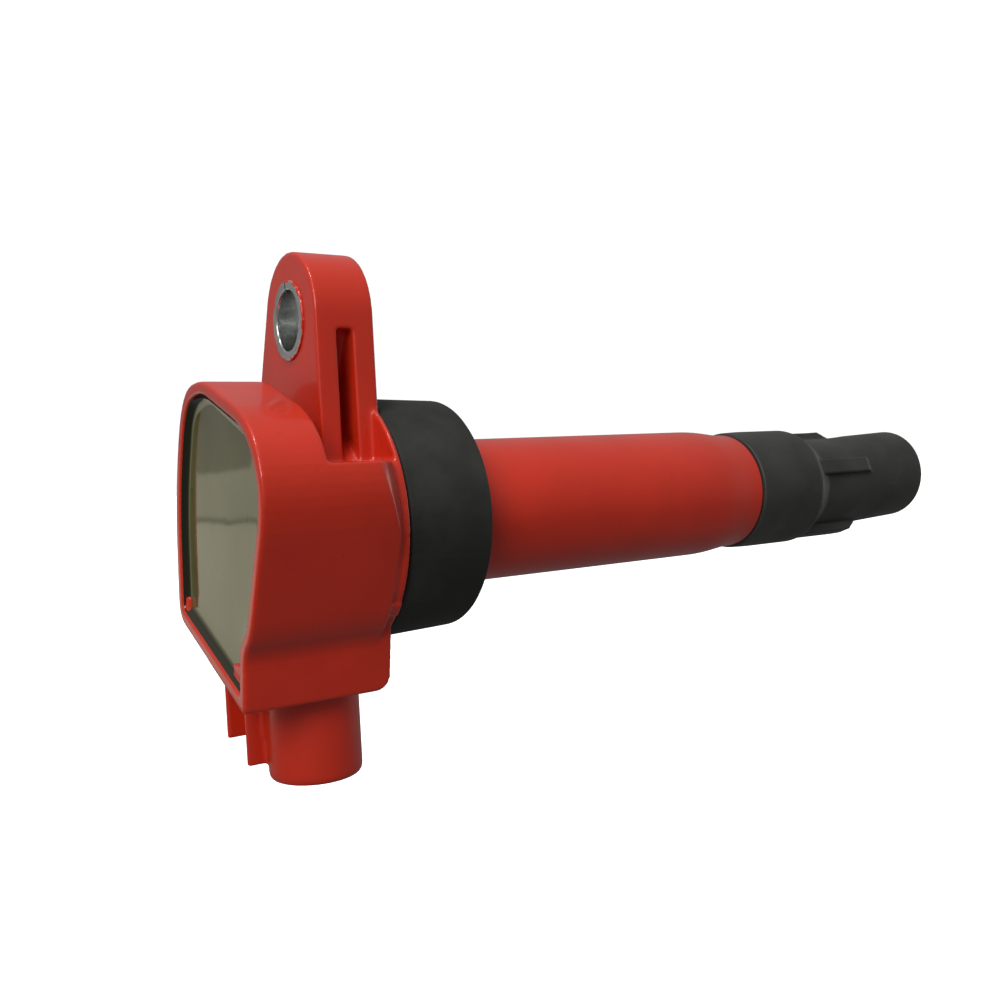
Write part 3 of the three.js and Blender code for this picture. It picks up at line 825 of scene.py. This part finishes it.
def make_terminals():
    """Blade terminals whose tips taper to a point that finds its socket."""
    tin = plain_metal("tin_plate", (0.62, 0.62, 0.6), 0.28, (1, 1, 0.15))
    taper = 1.4
    for node in ("terminal_supply", "terminal_trigger", "terminal_ground"):
        low, high = node_box(node)
        middle = (low + high) / 2
        half = (high - low) / 2
        bm = bmesh.new()
        rings = []
        for z, share in ((high.z, 1.0), (low.z + taper, 1.0), (low.z, 0.45)):
            corners = ((-1, -1), (1, -1), (1, 1), (-1, 1))
            rings.append([bm.verts.new((middle.x + a * half.x * share, middle.y + b * half.y * share, z))
                          for a, b in corners])
        for a, b in zip(rings, rings[1:]):
            for k in range(4):
                n = (k + 1) % 4
                bm.faces.new((a[k], a[n], b[n], b[k]))
        bm.faces.new(rings[0])
        bm.faces.new(list(reversed(rings[-1])))
        blade = new_object(node + "_blade", bm)
        bevel = blade.modifiers.new("bevel", "BEVEL")
        bevel.width = 0.08 * MM
        bevel.segments = 2
        apply_modifiers(blade)
        shade_by_angle(blade, 40)
        settle(blade, "coil", "tin_plate", tin, node)


def finish_inner_nodes():
    """Materials of the frame nodes that stay as they are."""
    finishes = {
        "core_steel": plain_metal("core_steel", (0.3, 0.31, 0.32), 0.42),
        "magnet": plain_metal("sintered_magnet", (0.13, 0.13, 0.14), 0.5, (1, 1, 1)),
        "foam": moulded_plastic("cushion_foam", (0.12, 0.12, 0.11), 0.85),
        "bobbin": moulded_plastic("bobbin_plastic", (0.68, 0.63, 0.48), 0.5),
        "black": moulded_plastic("black_plastic", (0.02, 0.02, 0.02), 0.5),
        "resin": moulded_plastic("module_resin", (0.025, 0.025, 0.03), 0.45),
        "aluminium": plain_metal("aluminium_plate", (0.6, 0.61, 0.62), 0.35),
        "brass": plain_metal("drawn_brass", (0.6, 0.42, 0.14), 0.3),
        "ceramic": moulded_plastic("resistor_ceramic", (0.78, 0.74, 0.66), 0.55),
        "lead": plain_metal("copper_lead", (0.48, 0.2, 0.07), 0.32),
        "primary": wound_wire("primary_wire", (0.5, 0.19, 0.06), 1500),
        "secondary": wound_wire("secondary_wire", (0.42, 0.15, 0.05), 6000),
    }
    uses = {
        "centre_core": "core_steel",
        "outer_core": "core_steel",
        "head_magnet": "magnet",
        "tip_magnet": "magnet",
        "head_cushion": "foam",
        "tip_cushion": "foam",
        "secondary_bobbin": "bobbin",
        "primary_bobbin": "bobbin",
        "terminal_carrier": "black",
        "nose_sleeve": "black",
        "igniter_module": "resin",
        "blocking_diode": "resin",
        "heat_spreader": "aluminium",
        "high_voltage_cup": "brass",
        "suppression_resistor": "ceramic",
        "primary_lead_start": "lead",
        "primary_lead_end": "lead",
        "primary_winding": "primary",
        "secondary_winding": "secondary",
    }
    for node, finish in uses.items():
        mesh = NODES[node].data
        mesh.materials.clear()
        mesh.materials.append(finishes[finish])


# ---------- studio ----------
CAMERA_PLACE = (-0.0601, -0.1339, 0.0064)
CAMERA_HEADING = math.radians(57.63)
CAMERA_PITCH = math.radians(-1.87)
CAMERA_ROLL = math.radians(-2.95)
FLOOR_DROP = 0.03


def camera_matrix():
    """Camera that looks along its heading, tipped by its pitch and rolled about its own view."""
    turn = Matrix.Rotation(CAMERA_HEADING - math.pi / 2, 4, "Z")
    tip = Matrix.Rotation(math.pi / 2 + CAMERA_PITCH, 4, "X")
    roll = Matrix.Rotation(CAMERA_ROLL, 4, "Z")
    return Matrix.Translation(CAMERA_PLACE) @ turn @ tip @ roll


def area_light(name, place, target, size, power, colour=(1, 1, 1)):
    data = bpy.data.lights.new(name, "AREA")
    data.shape = "RECTANGLE"
    data.size, data.size_y = size
    data.energy = power
    data.color = colour
    light = bpy.data.objects.new(name, data)
    bpy.context.scene.collection.objects.link(light)
    light.location = place
    light.visible_camera = False
    light.rotation_euler = (Vector(target) - Vector(place)).to_track_quat("-Z", "Y").to_euler()
    return light


def make_floor(low_z):
    bm = bmesh.new()
    bmesh.ops.create_grid(bm, x_segments=1, y_segments=1, size=6)
    mesh = bpy.data.meshes.new("floor")
    bm.to_mesh(mesh)
    bm.free()
    floor = bpy.data.objects.new("floor", mesh)
    bpy.context.scene.collection.objects.link(floor)
    floor.location.z = low_z
    material = bpy.data.materials.new("pale_floor")
    material.use_nodes = True
    shader = material.node_tree.nodes["Principled BSDF"]
    shader.inputs["Base Color"].default_value = (0.85, 0.85, 0.85, 1)
    shader.inputs["Roughness"].default_value = 0.9
    shader.inputs["Specular IOR Level"].default_value = 0.1
    shader.inputs["Emission Color"].default_value = (1, 1, 1, 1)
    shader.inputs["Emission Strength"].default_value = 1.1
    mesh.materials.append(material)
    floor.visible_diffuse = False
    floor.visible_glossy = False
    floor.visible_shadow = False


def make_world():
    """White all round to the eye, and a soft sky that is brighter above for the light."""
    world = bpy.data.worlds.new("studio")
    bpy.context.scene.world = world
    world.use_nodes = True
    tree = world.node_tree
    tree.nodes.clear()
    output = tree.nodes.new("ShaderNodeOutputWorld")
    mix = tree.nodes.new("ShaderNodeMixShader")
    light = tree.nodes.new("ShaderNodeBackground")
    seen = tree.nodes.new("ShaderNodeBackground")
    path = tree.nodes.new("ShaderNodeLightPath")
    coordinates = tree.nodes.new("ShaderNodeTexCoord")
    split = tree.nodes.new("ShaderNodeSeparateXYZ")
    ramp = tree.nodes.new("ShaderNodeMapRange")
    ramp.inputs["From Min"].default_value = -0.3
    ramp.inputs["From Max"].default_value = 0.9
    ramp.inputs["To Min"].default_value = 0.15
    ramp.inputs["To Max"].default_value = 0.42
    seen.inputs["Strength"].default_value = 1.05
    seen.inputs["Color"].default_value = (1, 1, 1, 1)
    light.inputs["Color"].default_value = (1, 1, 1, 1)
    tree.links.new(coordinates.outputs["Generated"], split.inputs[0])
    tree.links.new(split.outputs["Z"], ramp.inputs["Value"])
    tree.links.new(ramp.outputs["Result"], light.inputs["Strength"])
    tree.links.new(path.outputs["Is Camera Ray"], mix.inputs["Fac"])
    tree.links.new(light.outputs["Background"], mix.inputs[1])
    tree.links.new(seen.outputs["Background"], mix.inputs[2])
    tree.links.new(mix.outputs["Shader"], output.inputs["Surface"])


def make_camera():
    data = bpy.data.cameras.new("camera")
    data.lens = 36.0
    data.sensor_width = 36.0
    data.clip_start = 0.005
    data.clip_end = 20
    camera = bpy.data.objects.new("camera", data)
    bpy.context.scene.collection.objects.link(camera)
    camera.matrix_world = camera_matrix()
    bpy.context.scene.camera = camera


# ---------- operators ----------
class PieceOperator:
    """Shared by the operators: runs build() and reports that it is done."""
    bl_options = {"REGISTER", "UNDO"}

    def execute(self, context):
        self.build()
        return {"FINISHED"}


class COIL_OT_head(PieceOperator, bpy.types.Operator):
    """Build the painted head, its bolt sleeve and its resin"""
    bl_idname = "coil.head"
    bl_label = "Head"

    def build(self):
        make_head_shell()
        make_bushing()
        make_potting()


class COIL_OT_tube(PieceOperator, bpy.types.Operator):
    """Build the painted coil tube"""
    bl_idname = "coil.tube"
    bl_label = "Tube"

    def build(self):
        make_tube()


class COIL_OT_rubber(PieceOperator, bpy.types.Operator):
    """Build the well seal and the spark plug boot"""
    bl_idname = "coil.rubber"
    bl_label = "Rubber"

    def build(self):
        make_seal()
        make_boot()


class COIL_OT_contacts(PieceOperator, bpy.types.Operator):
    """Build the contact spring and the connector's terminals"""
    bl_idname = "coil.contacts"
    bl_label = "Contacts"

    def build(self):
        make_spring()
        make_terminals()


class COIL_OT_inner(PieceOperator, bpy.types.Operator):
    """Finish the windings, cores and electronics inside"""
    bl_idname = "coil.inner"
    bl_label = "Inner parts"

    def build(self):
        finish_inner_nodes()


class COIL_OT_studio(PieceOperator, bpy.types.Operator):
    """Set up the camera, the light and the pale floor"""
    bl_idname = "coil.studio"
    bl_label = "Studio"

    def build(self):
        make_camera()
        make_world()
        make_floor(CAD_BOX[0][2] - FLOOR_DROP)
        area_light("top_softbox", (-0.15, -0.12, 0.5), (0.03, 0, 0), (0.09, 0.09), 0.92)
        area_light("left_fill", (-0.42, -0.38, 0.3), (0.03, 0, 0), (0.3, 0.3), 2.05)
        area_light("plug_side_card", (0.62, 0.03, 0.02), (0.1, 0, 0), (0.3, 0.25), 0.3)
        area_light("low_card", (-0.30, 0.44, -0.085), (-0.02, 0, 0), (0.5, 0.13), 0.1, (1, 0.96, 0.78))
        area_light("level_card", (-0.30, 0.44, -0.002), (-0.02, 0, 0), (0.5, 0.03), 0.016, (1, 0.96, 0.78))
        strip = area_light("sleeve_strip", (0.28, -0.45, 0.1), (-0.005, 0, 0.028), (0.3, 0.03), 0.5)
        sleeve_only = bpy.data.collections.new("lit_by_strip")
        sleeve_only.objects.link(bpy.data.objects["bolt_sleeve"])
        strip.light_linking.receiver_collection = sleeve_only
        settings = bpy.context.scene.view_settings
        settings.view_transform = "Standard"
        settings.look = "None"


class COIL_PT_panel(bpy.types.Panel):
    """Lists the steps that build the coil"""
    bl_label = "Ignition Coil"
    bl_idname = "COIL_PT_panel"
    bl_space_type = "VIEW_3D"
    bl_region_type = "UI"
    bl_category = "Coil"

    def draw(self, context):
        layout = self.layout
        for group in (context.scene.coil_sizes, context.scene.coil_colours):
            for name in group.bl_rna.properties.keys():
                if name not in ("rna_type", "name"):
                    layout.prop(group, name)
        for operator in OPERATORS:
            layout.operator(operator.bl_idname)


OPERATORS = (COIL_OT_head, COIL_OT_tube, COIL_OT_rubber, COIL_OT_contacts, COIL_OT_inner, COIL_OT_studio)
CLASSES = (CoilSizes, CoilColours, *OPERATORS, COIL_PT_panel)


def register():
    for cls in CLASSES:
        bpy.utils.register_class(cls)
    bpy.types.Scene.coil_sizes = bpy.props.PointerProperty(type=CoilSizes)
    bpy.types.Scene.coil_colours = bpy.props.PointerProperty(type=CoilColours)


def unregister():
    del bpy.types.Scene.coil_colours
    del bpy.types.Scene.coil_sizes
    for cls in reversed(CLASSES):
        bpy.utils.unregister_class(cls)


def main():
    register()
    for operator in OPERATORS:
        group, name = operator.bl_idname.split(".")
        getattr(getattr(bpy.ops, group), name)()


if __name__ == "__main__":
    main()
